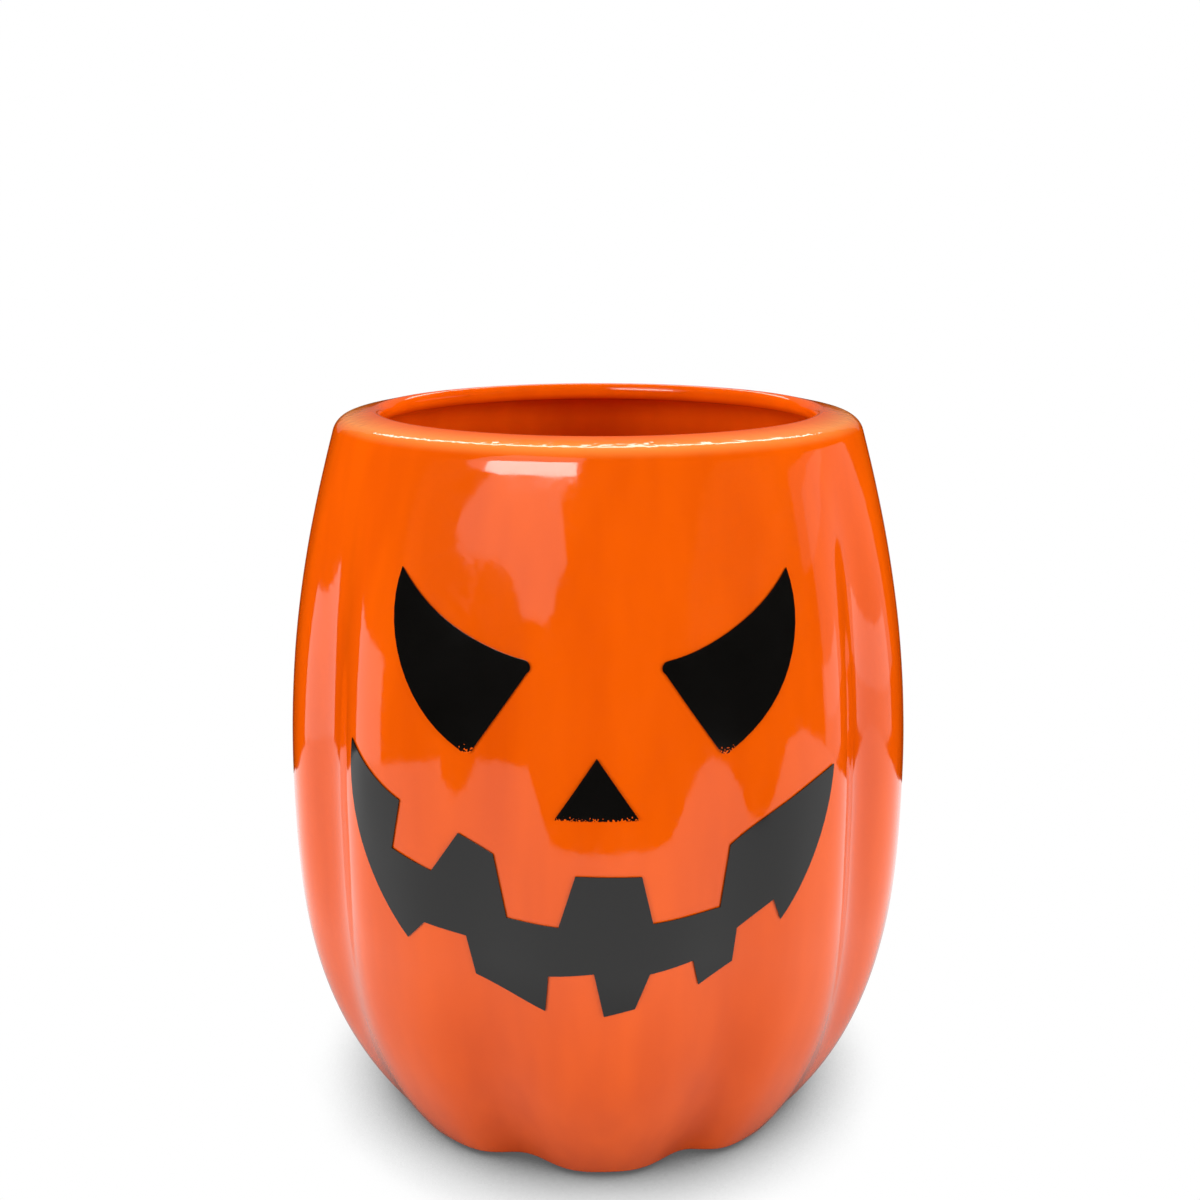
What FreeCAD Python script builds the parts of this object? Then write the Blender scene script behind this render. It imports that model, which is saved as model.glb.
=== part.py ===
import FreeCAD, Part
import math
import os

# Utensil crock: a slip-cast stoneware pumpkin with a coloured glaze outside, a glaze liner inside
# and a printed face. Millimetres, +Z up. The origin is on the table, under the middle of the foot,
# and the face looks along -Y.

V = FreeCAD.Vector

# Crock, over the glaze: radii are taken on the ridges of the lobes, levels above the table
HEIGHT = 200.0
BASE_RADIUS = 65.4
BELLY_RADIUS = 88.0
BELLY_SHARE = 0.49
SHOULDER_RADIUS = 72.5
SHOULDER_DROP = 5.1
SHOULDER_ROUND = 5.5
RIM_WIDTH = 13.1
LIP_HEIGHT = 5.0
LIP_ROUND = 2.2
TOE_RISE = 2.2
BASE_POWER = 3.0
SHOULDER_POWER = 2.0
RIM_SLOPE = math.radians(12.0)

# Thicknesses: the wall and the floor include their glaze, and the print clears the glaze under it
WALL = 5.0
FLOOR = 7.0
GLAZE = 0.6
PRINT = 0.2
PRINT_CLEARANCE = 0.2

# Unglazed foot ring, set in from the edge of the glaze
FOOT_HEIGHT = 1.5
FOOT_INSET = 1.0
FOOT_WIDTH = 8.0
FOOT_ROUND = 0.5

# Rounding of the inside from the flat floor out to below the base's edge
FLOOR_INSET = 13.2

# Creases between the lobes, in degrees from the front towards +X
FACE_CREASE_ANGLES = (20.8, 339.2)
OTHER_CREASE_ANGLES = (52.0, 88.0, 125.0, 162.0, 198.0, 234.0, 268.5, 303.0)
FACE_CREASE_AT_BASE = 4.8
FACE_CREASE_AT_BELLY = 2.6
OTHER_CREASE_AT_BASE = 1.6
OTHER_CREASE_AT_BELLY = 5.0
CREASE_POWER = 4

# Printed face, as seen from the front: the middle of the print lies beside the front ridge,
# and the bottom of each print lies at a share of the crock's height
FACE_SHIFT = -3.0
EYE_WIDTH = 32.4
EYE_HEIGHT = 42.0
EYE_SPREAD = 15.3
EYE_LEVEL_SHARE = 0.638
NOSE_WIDTH = 20.0
NOSE_HEIGHT = 15.1
NOSE_LEVEL_SHARE = 0.5705
GRIN_WIDTH = 120.0
GRIN_HEIGHT = 62.0
GRIN_LEVEL_SHARE = 0.315

# How finely the curved surfaces are described
POINTS_PER_LOBE = 8
WALL_STEPS = 6
ARC_STEPS = 4
OVERRUN = 5.0

BASE_LEVEL = FOOT_HEIGHT + TOE_RISE
BELLY_LEVEL = HEIGHT * BELLY_SHARE
SHOULDER_LEVEL = HEIGHT - SHOULDER_DROP
MOUTH_RADIUS = SHOULDER_RADIUS - RIM_WIDTH
FLOOR_RADIUS = BASE_RADIUS - FLOOR_INSET
EYE_LEVEL = HEIGHT * EYE_LEVEL_SHARE
NOSE_LEVEL = HEIGHT * NOSE_LEVEL_SHARE
GRIN_LEVEL = HEIGHT * GRIN_LEVEL_SHARE
CREASE_ANGLES = sorted(FACE_CREASE_ANGLES + OTHER_CREASE_ANGLES)
RING_KNOTS = [float(i) for i in range(len(CREASE_ANGLES) * POINTS_PER_LOBE + 1)]
LOBE_KNOTS = RING_KNOTS[::POINTS_PER_LOBE]

# Heights on the bore, as shares of the shoulder half and of the base half of the wall
BORE_SHOULDER_SHARES = (0.93, 0.75, 0.55, 0.35, 0.15)
BORE_BASE_SHARES = (0.95, 0.75, 0.55, 0.35, 0.16)

# Eye outline: shares of its width outwards from the inner corner, and of its height upwards
EYE_TIP_SHARES = (0.93, 1.0)
EYE_BROW_SHARES = (0.45, 0.665)
EYE_CORNER_SHARES = ((0.04, 0.56), (0.0, 0.535), (0.02, 0.49))
EYE_BOTTOM_SHARES = ((0.42, 0.03), (0.46, 0.0), (0.52, 0.015))
EYE_OUTSIDE_SHARES = (0.95, 0.45)

# Grin outline: shares of half its width from its middle, and of its height upwards
GRIN_LEFT_TIP_SHARES = (-1.0, 1.0)
GRIN_LEFT_LIP_SHARES = (-0.92, 0.90)
GRIN_TEETH_SHARES = (
    (-0.79, 0.815), (-0.83, 0.605), (-0.665, 0.547), (-0.55, 0.718), (-0.41, 0.65), (-0.36, 0.392),
    (-0.153, 0.384), (-0.085, 0.602), (0.177, 0.597), (0.223, 0.398), (0.5, 0.416), (0.537, 0.67))
GRIN_RIGHT_LIP_SHARES = (0.74, 0.80)
GRIN_RIGHT_TIP_SHARES = (0.985, 0.915)
GRIN_RIGHT_CHEEK_SHARES = (0.915, 0.60)
GRIN_JAW_SHARES = (
    (0.758, 0.32), (0.725, 0.413), (0.573, 0.31), (0.557, 0.165), (0.415, 0.095), (0.39, 0.21),
    (0.212, 0.182), (0.153, 0.032), (0.028, 0.0), (-0.012, 0.192), (-0.195, 0.169), (-0.208, 0.01),
    (-0.49, 0.118), (-0.527, 0.284), (-0.70, 0.319), (-0.772, 0.235))
GRIN_LEFT_CHEEK_SHARES = (-0.965, 0.58)


# Ridge line of the crock, as stations: radius, level and the angle of the outward normal

def base_half(share):
    """Station on the wall between the base and the belly."""
    run = BELLY_LEVEL - BASE_LEVEL
    spread = BELLY_RADIUS - BASE_RADIUS
    slope = spread * BASE_POWER * (1 - share) ** (BASE_POWER - 1) / run
    return BELLY_RADIUS - spread * (1 - share) ** BASE_POWER, BASE_LEVEL + run * share, -math.atan(slope)


def shoulder_half(share):
    """Station on the wall between the belly and the shoulder."""
    run = SHOULDER_LEVEL - BELLY_LEVEL
    spread = BELLY_RADIUS - SHOULDER_RADIUS
    slope = spread * SHOULDER_POWER * share ** (SHOULDER_POWER - 1) / run
    return BELLY_RADIUS - spread * share ** SHOULDER_POWER, BELLY_LEVEL + run * share, math.atan(slope)


def arc(radius, level, round_radius, start, end):
    """Stations on an arc about a centre, from one normal angle to another."""
    turns = [start + (end - start) * i / ARC_STEPS for i in range(ARC_STEPS + 1)]
    return [(radius + round_radius * math.cos(t), level + round_radius * math.sin(t), t) for t in turns]


def arc_from(station, round_radius, end):
    """Arc that carries on from a station, without a corner, to another normal angle."""
    radius, level, lean = station
    middle = radius - round_radius * math.cos(lean)
    return arc(middle, level - round_radius * math.sin(lean), round_radius, lean, end)


def sunk(stations, depth):
    """Radii and levels of stations moved into the wall by a depth."""
    return [(r - depth * math.cos(t), z - depth * math.sin(t)) for r, z, t in stations]


def quarter(wall_end, flat_end):
    """Rings of a quarter ellipse that starts along the wall and ends flat, without its two ends."""
    turns = [math.pi / 2 * i / ARC_STEPS for i in range(1, ARC_STEPS)]
    wide, high = wall_end[0] - flat_end[0], wall_end[1] - flat_end[1]
    return [(flat_end[0] + wide * math.cos(t), wall_end[1] - high * math.sin(t)) for t in turns]


def wall_line(depth):
    """Outside from the base, round the toe, up to the shoulder."""
    lower = [base_half(i / WALL_STEPS) for i in range(WALL_STEPS + 1)]
    upper = [shoulder_half(i / WALL_STEPS) for i in range(1, WALL_STEPS + 1)]
    toe_round = TOE_RISE / (1 + math.sin(lower[0][2]))
    toe = arc_from(lower[0], toe_round, -math.pi / 2)
    return sunk(toe[:0:-1] + lower + upper, depth)


def rim_line(depth):
    """From the shoulder over the crest and round the lip to its underside."""
    middle = MOUTH_RADIUS + LIP_ROUND
    crest_lean = math.pi / 2 - RIM_SLOPE
    shoulder = arc_from(shoulder_half(1), SHOULDER_ROUND, crest_lean)
    crest = arc(middle, HEIGHT - LIP_ROUND, LIP_ROUND, crest_lean, math.pi)
    underside = arc(middle, HEIGHT - LIP_HEIGHT + LIP_ROUND, LIP_ROUND, math.pi, math.pi * 3 / 2)
    return sunk(shoulder + crest + underside, depth)


def bore_line(depth):
    """Inside from the underside of the lip, down the wall to the flat floor."""
    start = rim_line(depth)[-1]
    stations = [shoulder_half(s) for s in BORE_SHOULDER_SHARES] + [base_half(s) for s in BORE_BASE_SHARES]
    wall = sunk(stations, WALL - depth)
    floor_ring = (FLOOR_RADIUS, FOOT_HEIGHT + FLOOR - depth)
    return [start] + quarter(wall[0], start)[::-1] + wall + quarter(wall[-1], floor_ring) + [floor_ring]


# Lobed surfaces

def crease_depth(crease, level):
    """Depth of a crease: it blends from the base to the belly and runs out at the shoulder."""
    on_face = crease in FACE_CREASE_ANGLES
    at_base = FACE_CREASE_AT_BASE if on_face else OTHER_CREASE_AT_BASE
    at_belly = FACE_CREASE_AT_BELLY if on_face else OTHER_CREASE_AT_BELLY
    if level < BELLY_LEVEL:
        share = max(0.0, (level - FOOT_HEIGHT) / (BELLY_LEVEL - FOOT_HEIGHT))
        return at_base + (at_belly - at_base) * share ** 2 * (3 - 2 * share)
    share = min(1.0, (level - BELLY_LEVEL) / (SHOULDER_LEVEL - BELLY_LEVEL))
    return at_belly * (1 - share ** 2)


def ring_points(radius, level):
    """Points of one lobed ring, lobe by lobe: full radius on a ridge, less in the creases."""
    points = []
    for crease, following in zip(CREASE_ANGLES, CREASE_ANGLES[1:] + CREASE_ANGLES[:1]):
        width = (following - crease) % 360
        for i in range(POINTS_PER_LOBE):
            share = i / POINTS_PER_LOBE
            nearest = crease if share < 0.5 else following
            groove = abs(math.cos(math.pi * share)) ** CREASE_POWER
            reach = radius - crease_depth(nearest, level) * groove
            angle = math.radians(crease + width * share)
            points.append(V(reach * math.sin(angle), -reach * math.cos(angle), level))
    return points


def ring_curve(radius, level):
    """Smooth closed curve through one lobed ring."""
    curve = Part.BSplineCurve()
    curve.interpolate(Points=ring_points(radius, level), PeriodicFlag=True, Parameters=RING_KNOTS)
    return curve


def lobed_faces(line):
    """One smooth surface through the rings of a line, as one face per lobe."""
    along = [0.0]
    for (r0, z0), (r1, z1) in zip(line, line[1:]):
        along.append(along[-1] + math.hypot(r1 - r0, z1 - z0))
    rings = [ring_curve(radius, level) for radius, level in line]
    columns = []
    for poles in zip(*[ring.getPoles() for ring in rings]):
        column = Part.BSplineCurve()
        column.interpolate(Points=list(poles), Parameters=along)
        columns.append(column)
    surface = Part.BSplineSurface()
    surface.buildFromPolesMultsKnots(
        [column.getPoles() for column in columns],
        rings[0].getMultiplicities(), columns[0].getMultiplicities(),
        rings[0].getKnots(), columns[0].getKnots(),
        True, False, rings[0].Degree, columns[0].Degree)
    faces = []
    for start, end in zip(LOBE_KNOTS, LOBE_KNOTS[1:]):
        patch = surface.copy()
        patch.segment(start, end, along[0], along[-1])
        faces.append(patch.toShape())
    return faces


def cap(ring):
    """Flat face inside a ring."""
    curve = ring_curve(*ring)
    lobes = [curve.toShape(start, end) for start, end in zip(LOBE_KNOTS, LOBE_KNOTS[1:])]
    return Part.Face(Part.Wire(lobes))


def closed(faces):
    """Solid from faces that meet edge to edge."""
    shell = Part.Shell(faces)
    shell.sewShape()
    return Part.Solid(shell)


# Pieces

def stoneware_body():
    """The bisque casting, with the foot ring that stays bare."""
    wall, rim, bore = wall_line(GLAZE), rim_line(GLAZE), bore_line(GLAZE)
    skin = lobed_faces(wall) + lobed_faces(rim) + lobed_faces(bore)
    casting = closed(skin + [cap(wall[0]), cap(bore[-1])])
    ring_height = FOOT_HEIGHT + FLOOR / 2
    ring_radius = wall[0][0] - max(FACE_CREASE_AT_BASE, OTHER_CREASE_AT_BASE) - FOOT_INSET
    recess = Part.makeCylinder(ring_radius - FOOT_WIDTH, ring_height)
    foot = Part.makeCylinder(ring_radius, ring_height).cut(recess)
    sole = [edge for edge in foot.Edges if edge.BoundBox.ZMax < FOOT_HEIGHT / 2]
    return casting.fuse(foot.makeFillet(FOOT_ROUND, sole))


def outer_glaze():
    """Coat over the outside and the rim, from the toe to the underside of the lip."""
    outside = [lobed_faces(wall_line(depth)) + lobed_faces(rim_line(depth)) for depth in (0.0, GLAZE)]
    toe_edge = lobed_faces([wall_line(0.0)[0], wall_line(GLAZE)[0]])
    lip_edge = lobed_faces([rim_line(0.0)[-1], rim_line(GLAZE)[-1]])
    return closed(outside[0] + outside[1] + toe_edge + lip_edge)


def liner_glaze():
    """Coat over the inside, from the underside of the lip to the floor."""
    bore, clay = bore_line(0.0), bore_line(GLAZE)
    lip_edge = lobed_faces([bore[0], clay[0]])
    floors = [cap(bore[-1]), cap(clay[-1])]
    return closed(lobed_faces(bore) + lobed_faces(clay) + lip_edge + floors)


def print_film():
    """Film as thick as the print over the whole outside wall."""
    outside, inside = wall_line(-PRINT_CLEARANCE - PRINT), wall_line(-PRINT_CLEARANCE)
    ends = [lobed_faces([outside[i], inside[i]]) for i in (0, -1)]
    return closed(lobed_faces(outside) + lobed_faces(inside) + ends[0] + ends[1])


def printed(outline, film):
    """The part of the film behind a flat outline, seen from the front."""
    stamp = Part.Face(Part.Wire(outline)).extrude(V(0, -BELLY_RADIUS - OVERRUN, 0))
    return film.common(stamp)


def bend(start, middle, end):
    return Part.Arc(start, middle, end).toShape()


def straight(start, end):
    return Part.LineSegment(start, end).toShape()


def eye_outline(side):
    """Outline of one eye: side is -1 for the left one and 1 for the right one."""
    def at(shares):
        across = EYE_SPREAD + EYE_WIDTH * shares[0]
        return V(FACE_SHIFT + side * across, 0, EYE_LEVEL + EYE_HEIGHT * shares[1])
    tip, brow, outside = at(EYE_TIP_SHARES), at(EYE_BROW_SHARES), at(EYE_OUTSIDE_SHARES)
    corner = [at(shares) for shares in EYE_CORNER_SHARES]
    bottom = [at(shares) for shares in EYE_BOTTOM_SHARES]
    return [
        bend(tip, brow, corner[0]), bend(*corner), straight(corner[-1], bottom[0]), bend(*bottom),
        bend(bottom[-1], outside, tip)]


def nose_outline():
    """Outline of the nose, a triangle."""
    apex = V(FACE_SHIFT, 0, NOSE_LEVEL + NOSE_HEIGHT)
    left = V(FACE_SHIFT - NOSE_WIDTH / 2, 0, NOSE_LEVEL)
    right = V(FACE_SHIFT + NOSE_WIDTH / 2, 0, NOSE_LEVEL)
    return [straight(apex, left), straight(left, right), straight(right, apex)]


def grin_outline():
    """Outline of the toothed grin: curved lips and cheeks, straight-sided teeth."""
    def at(shares):
        return V(FACE_SHIFT + GRIN_WIDTH / 2 * shares[0], 0, GRIN_LEVEL + GRIN_HEIGHT * shares[1])
    left_tip, right_tip = at(GRIN_LEFT_TIP_SHARES), at(GRIN_RIGHT_TIP_SHARES)
    teeth = [at(shares) for shares in GRIN_TEETH_SHARES]
    jaw = [at(shares) for shares in GRIN_JAW_SHARES]
    outline = [bend(left_tip, at(GRIN_LEFT_LIP_SHARES), teeth[0])]
    outline += [straight(a, b) for a, b in zip(teeth, teeth[1:])]
    outline.append(bend(teeth[-1], at(GRIN_RIGHT_LIP_SHARES), right_tip))
    outline.append(bend(right_tip, at(GRIN_RIGHT_CHEEK_SHARES), jaw[0]))
    outline += [straight(a, b) for a, b in zip(jaw, jaw[1:])]
    outline.append(bend(jaw[-1], at(GRIN_LEFT_CHEEK_SHARES), left_tip))
    return outline


film = print_film()
pieces = {
    "stoneware_body": stoneware_body(),
    "outer_glaze": outer_glaze(),
    "liner_glaze": liner_glaze(),
    "left_eye_print": printed(eye_outline(-1), film),
    "right_eye_print": printed(eye_outline(1), film),
    "nose_print": printed(nose_outline(), film),
    "grin_print": printed(grin_outline(), film),
}

os.makedirs("parts", exist_ok=True)
for name, shape in pieces.items():
    shape.exportStep(f"parts/{name}.step")
    box = shape.optimalBoundingBox()
    size = f"{box.XLength:.1f} x {box.YLength:.1f} x {box.ZLength:.1f}"
    print(name, len(shape.Solids), shape.isValid(), round(shape.Volume), size)
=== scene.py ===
import math

import bmesh
import bpy
from bpy.props import FloatProperty, FloatVectorProperty, PointerProperty
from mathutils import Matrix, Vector, noise


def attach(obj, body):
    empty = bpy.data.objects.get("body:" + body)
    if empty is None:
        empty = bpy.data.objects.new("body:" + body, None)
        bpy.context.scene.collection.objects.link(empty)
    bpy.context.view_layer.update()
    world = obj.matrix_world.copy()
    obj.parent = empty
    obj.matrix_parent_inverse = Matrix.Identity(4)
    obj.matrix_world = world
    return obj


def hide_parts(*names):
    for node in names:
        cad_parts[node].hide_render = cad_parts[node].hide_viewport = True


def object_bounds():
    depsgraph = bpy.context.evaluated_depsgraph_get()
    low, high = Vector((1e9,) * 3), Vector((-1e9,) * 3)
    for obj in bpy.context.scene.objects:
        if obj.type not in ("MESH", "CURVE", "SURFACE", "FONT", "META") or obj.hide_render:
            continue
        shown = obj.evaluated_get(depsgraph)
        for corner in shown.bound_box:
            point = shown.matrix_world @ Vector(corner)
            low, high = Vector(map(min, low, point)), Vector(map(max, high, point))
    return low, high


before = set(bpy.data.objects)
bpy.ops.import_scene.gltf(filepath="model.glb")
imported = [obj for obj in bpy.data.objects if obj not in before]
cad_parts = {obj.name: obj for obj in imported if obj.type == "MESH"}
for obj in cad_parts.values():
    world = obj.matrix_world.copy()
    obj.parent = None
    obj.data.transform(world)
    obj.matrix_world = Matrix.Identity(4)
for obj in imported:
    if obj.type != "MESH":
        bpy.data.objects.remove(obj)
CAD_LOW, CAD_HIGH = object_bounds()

bl_info = {
    "name": "Utensil crock",
    "version": (1, 0, 0),
    "blender": (4, 5, 0),
    "location": "3D View > Sidebar > Crock",
    "description": "Glazed, lobed stoneware crock with a printed lantern face, on its packed CAD frame",
    "category": "Object",
}

BODY = "root"

# Creases between the lobes, in degrees from the front towards +X
FACE_CREASE_ANGLES = (20.8, 339.2)
OTHER_CREASE_ANGLES = (52.0, 88.0, 125.0, 162.0, 198.0, 234.0, 268.5, 303.0)
CREASE_ANGLES = sorted(FACE_CREASE_ANGLES + OTHER_CREASE_ANGLES)
CREASE_POWER = 4

# How the wall swells below the belly and closes in above it, and how far the inside follows it up and down
BASE_POWER = 3.0
SHOULDER_POWER = 2.0
BORE_TOP_SHARE = 0.93
BORE_FOOT_SHARE = 0.16

# Band on the bend into the rim that is drawn lighter, for thinner glaze and a painted golden sheen, and
# rougher: shares of the shoulder's drop
CREST_SHARE = 0.76
CREST_SPREAD_SHARE = 0.5

# The finer part of the glaze's waver
FINE_WAVER_SHARE = 0.3
FINE_WAVER_SIZE_SHARE = 0.38

# How finely the pieces are meshed
RING_STEPS = 300
WALL_STEPS = 34
WALL_SHARES = [i / WALL_STEPS for i in range(WALL_STEPS + 1)]
ROUND_STEPS = 10
CLAY_SIDE_STRIDE = 3
CURVE_STEPS = 14
PRINT_GRID = 0.002
SEAT_TURNS = 24
MERGE_DISTANCE = 1e-6
SHARP_ANGLE = math.radians(50.0)

# Eye outline: shares of its width outwards from the inner corner, and of its height upwards
EYE_TIP_SHARES = (0.93, 1.0)
EYE_BROW_SHARES = (0.45, 0.665)
EYE_CORNER_SHARES = ((0.04, 0.56), (0.0, 0.535), (0.02, 0.49))
EYE_BOTTOM_SHARES = ((0.42, 0.03), (0.46, 0.0), (0.52, 0.015))
EYE_OUTSIDE_SHARES = (0.95, 0.45)

# Grin outline: shares of half its width from its middle, and of its height upwards
GRIN_LEFT_TIP_SHARES = (-1.0, 1.0)
GRIN_LEFT_LIP_SHARES = (-0.92, 0.90)
GRIN_TEETH_SHARES = (
    (-0.79, 0.815), (-0.83, 0.605), (-0.665, 0.547), (-0.55, 0.718), (-0.41, 0.65), (-0.36, 0.392),
    (-0.153, 0.384), (-0.085, 0.602), (0.177, 0.597), (0.223, 0.398), (0.5, 0.416), (0.537, 0.67))
GRIN_RIGHT_LIP_SHARES = (0.74, 0.80)
GRIN_RIGHT_TIP_SHARES = (0.985, 0.915)
GRIN_RIGHT_CHEEK_SHARES = (0.915, 0.60)
GRIN_JAW_SHARES = (
    (0.758, 0.32), (0.725, 0.413), (0.573, 0.31), (0.557, 0.165), (0.415, 0.095), (0.39, 0.21),
    (0.212, 0.182), (0.153, 0.032), (0.028, 0.0), (-0.012, 0.192), (-0.195, 0.169), (-0.208, 0.01),
    (-0.49, 0.118), (-0.527, 0.284), (-0.70, 0.319), (-0.772, 0.235))
GRIN_LEFT_CHEEK_SHARES = (-0.965, 0.58)

# Names of the surface attributes that the finishes read
CREASE_DARKENING = "crease_darkening"
CREST = "glaze_crest"
FRAY = "print_fray"
GLOW = "card_glow"
DIM = "floor_dim"


def linear(code):
    """Linear colour of an sRGB hex code."""
    channels = [int(code[i:i + 2], 16) / 255 for i in (1, 3, 5)]
    return tuple(c / 12.92 if c <= 0.04045 else ((c + 0.055) / 1.055) ** 2.4 for c in channels)


def length(name, description, default):
    """Property that holds a length in metres."""
    return FloatProperty(name=name, description=description, default=default, unit="LENGTH", precision=4)


def share(name, description, default):
    """Property that holds a share of another size."""
    return FloatProperty(
        name=name, description=description, default=default, subtype="FACTOR", min=0, max=1)


def tilt(name, description, degrees):
    """Property that holds an angle, from its degrees."""
    return FloatProperty(
        name=name, description=description, default=math.radians(degrees), subtype="ANGLE")


def colour(name, description, code):
    """Property that holds a colour, from its sRGB hex code."""
    return FloatVectorProperty(
        name=name, description=description, default=linear(code), subtype="COLOR", size=3, min=0, max=1)


class CrockForm(bpy.types.PropertyGroup):
    height: length("Height", "Table to the top of the rim", CAD_HIGH.z)
    base_radius: length("Base radius", "Radius on the ridges, above the toe", 0.0654)
    belly_radius: length("Belly radius", "Radius on the ridges at the widest level", 0.088)
    belly_share: share("Belly level", "Level of the widest ring, as a share of the height", 0.49)
    shoulder_radius: length("Shoulder radius", "Radius where the wall turns into the rim", 0.0725)
    shoulder_drop: length("Shoulder drop", "From the top down to the end of the wall", 0.0051)
    shoulder_round: length("Shoulder rounding", "Radius of the bend from the wall into the rim", 0.0055)
    rim_width: length("Rim width", "From the shoulder in to the mouth", 0.0131)
    rim_slope: tilt("Rim slope", "Rise of the rim towards the mouth", 12.0)
    lip_height: length("Lip height", "From the top down to the underside of the lip", 0.005)
    lip_round: length("Lip rounding", "Radius of both edges of the lip", 0.0022)
    toe_rise: length("Toe rise", "Height of the rounding at the bottom of the wall", 0.0022)
    foot_height: length("Foot height", "Table to the edge of the glaze", 0.0015)
    wall: length("Wall", "Thickness of the wall with its glaze", 0.005)
    floor: length("Floor", "Thickness of the floor with its glaze", 0.007)
    floor_inset: length("Floor inset", "From the base radius in to the flat floor", 0.0132)
    glaze: length("Glaze", "Thickness of each glaze coat", 0.0006)
    liner_cover: length("Liner cover", "How much further in the liner lies, to cover the casting", 0.0005)
    face_crease_at_base: length("Face crease at base", "Depth of the front creases at the base", 0.0048)
    face_crease_at_belly: length("Face crease at belly", "Depth of the front creases at the belly", 0.0026)
    other_crease_at_base: length("Crease at base", "Depth of the other creases at the base", 0.0016)
    other_crease_at_belly: length("Crease at belly", "Depth of the other creases at the belly", 0.005)
    waver: length("Waver", "How far the fired glaze strays from the true form", 0.0001)
    waver_size: length("Waver size", "Distance over which the glaze strays", 0.036)


class CrockFace(bpy.types.PropertyGroup):
    shift: length("Shift", "Middle of the print from the front ridge", -0.003)
    thickness: length("Thickness", "Thickness of the print", 0.0002)
    lift: length("Lift", "From the glaze to the outside of the print", 0.0004)
    eye_width: length("Eye width", "Across one eye", 0.0324)
    eye_height: length("Eye height", "Height of one eye", 0.042)
    eye_spread: length("Eye spread", "Middle of the face to the inner corner of an eye", 0.0153)
    eye_level_share: share("Eye level", "Bottom of the eyes, as a share of the height", 0.638)
    nose_width: length("Nose width", "Across the nose", 0.02)
    nose_height: length("Nose height", "Height of the nose", 0.0151)
    nose_level_share: share("Nose level", "Bottom of the nose, as a share of the height", 0.5705)
    grin_width: length("Grin width", "Across the grin", 0.12)
    grin_height: length("Grin height", "Height of the grin with its corners", 0.062)
    grin_level_share: share("Grin level", "Bottom of the grin, as a share of the height", 0.315)
    eye_fray: length("Eye fray", "Height of the broken edge at the bottom of the eyes", 0.0035)
    nose_fray: length("Nose fray", "Height of the broken edge at the bottom of the nose", 0.0016)


class CrockFinish(bpy.types.PropertyGroup):
    orange: colour("Orange", "Orange glaze where it lies even", "#f35d02")
    # Darker orange, drawn in the creases by their depth and along the streaks
    deep_orange: colour("Deep orange", "Orange glaze where it pools", "#de4e02")
    # Lighter orange over the rim's bend: partly thinner glaze, partly a painted golden sheen
    thin_glaze_and_sheen_orange: colour("Thin orange", "Orange glaze where it thins over the rim", "#ffb058")
    liner: colour("Liner", "Glaze inside the crock", "#ee5c06")
    # Darker liner orange, drawn in the creases by their depth and along the streaks
    deep_liner: colour("Deep liner", "Glaze inside where it has run", "#dc4d04")
    black: colour("Print", "Black of the printed face", "#0a0908")
    clay: colour("Clay", "Bare stoneware of the foot", "#cdbda2")
    dark_clay: colour("Clay grit", "Grit in the bare stoneware", "#a8967a")


class CrockStage(bpy.types.PropertyGroup):
    paper: colour("Floor", "Floor, as it lights the crock from below", "#b4b4b4")
    camera_distance: length("Camera distance", "Crock's axis to the camera, along the floor", 0.3879)
    camera_level: length("Camera level", "Height of the camera", 0.2451)
    camera_pitch: tilt("Camera pitch", "How far the camera looks down", 14.56)
    camera_turn: tilt("Camera turn", "Camera round the crock from the front", -1.8)
    camera_lens: FloatProperty(
        name="Camera lens", description="Focal length in millimetres", default=41.88, unit="CAMERA")


# Ridge line of the crock, as stations: radius, level and the angle of the outward normal

def base_level(form):
    """Level of the bottom of the wall, above its toe."""
    return form.foot_height + form.toe_rise


def belly_level(form):
    """Level at which the crock is widest."""
    return form.height * form.belly_share


def shoulder_level(form):
    """Level at which the wall turns into the rim."""
    return form.height - form.shoulder_drop


def base_half(form, along):
    """Station on the wall, from 0 at the base to 1 at the belly."""
    run = belly_level(form) - base_level(form)
    spread = form.belly_radius - form.base_radius
    slope = spread * BASE_POWER * (1 - along) ** (BASE_POWER - 1) / run
    radius = form.belly_radius - spread * (1 - along) ** BASE_POWER
    return radius, base_level(form) + run * along, -math.atan(slope)


def shoulder_half(form, along):
    """Station on the wall, from 0 at the belly to 1 at the shoulder."""
    run = shoulder_level(form) - belly_level(form)
    spread = form.belly_radius - form.shoulder_radius
    slope = spread * SHOULDER_POWER * along ** (SHOULDER_POWER - 1) / run
    radius = form.belly_radius - spread * along ** SHOULDER_POWER
    return radius, belly_level(form) + run * along, math.atan(slope)


def arc(middle, level, radius, start, end):
    """Stations on an arc about a centre, from one normal angle to another."""
    turns = [start + (end - start) * i / ROUND_STEPS for i in range(ROUND_STEPS + 1)]
    return [(middle + radius * math.cos(t), level + radius * math.sin(t), t) for t in turns]


def arc_from(station, radius, end):
    """Arc that carries on from a station, without a corner, to another normal angle."""
    across, level, lean = station
    return arc(across - radius * math.cos(lean), level - radius * math.sin(lean), radius, lean, end)


def sunk(stations, depth):
    """Radii and levels of stations moved into the wall by a depth."""
    return [(r - depth * math.cos(t), z - depth * math.sin(t)) for r, z, t in stations]


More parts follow.
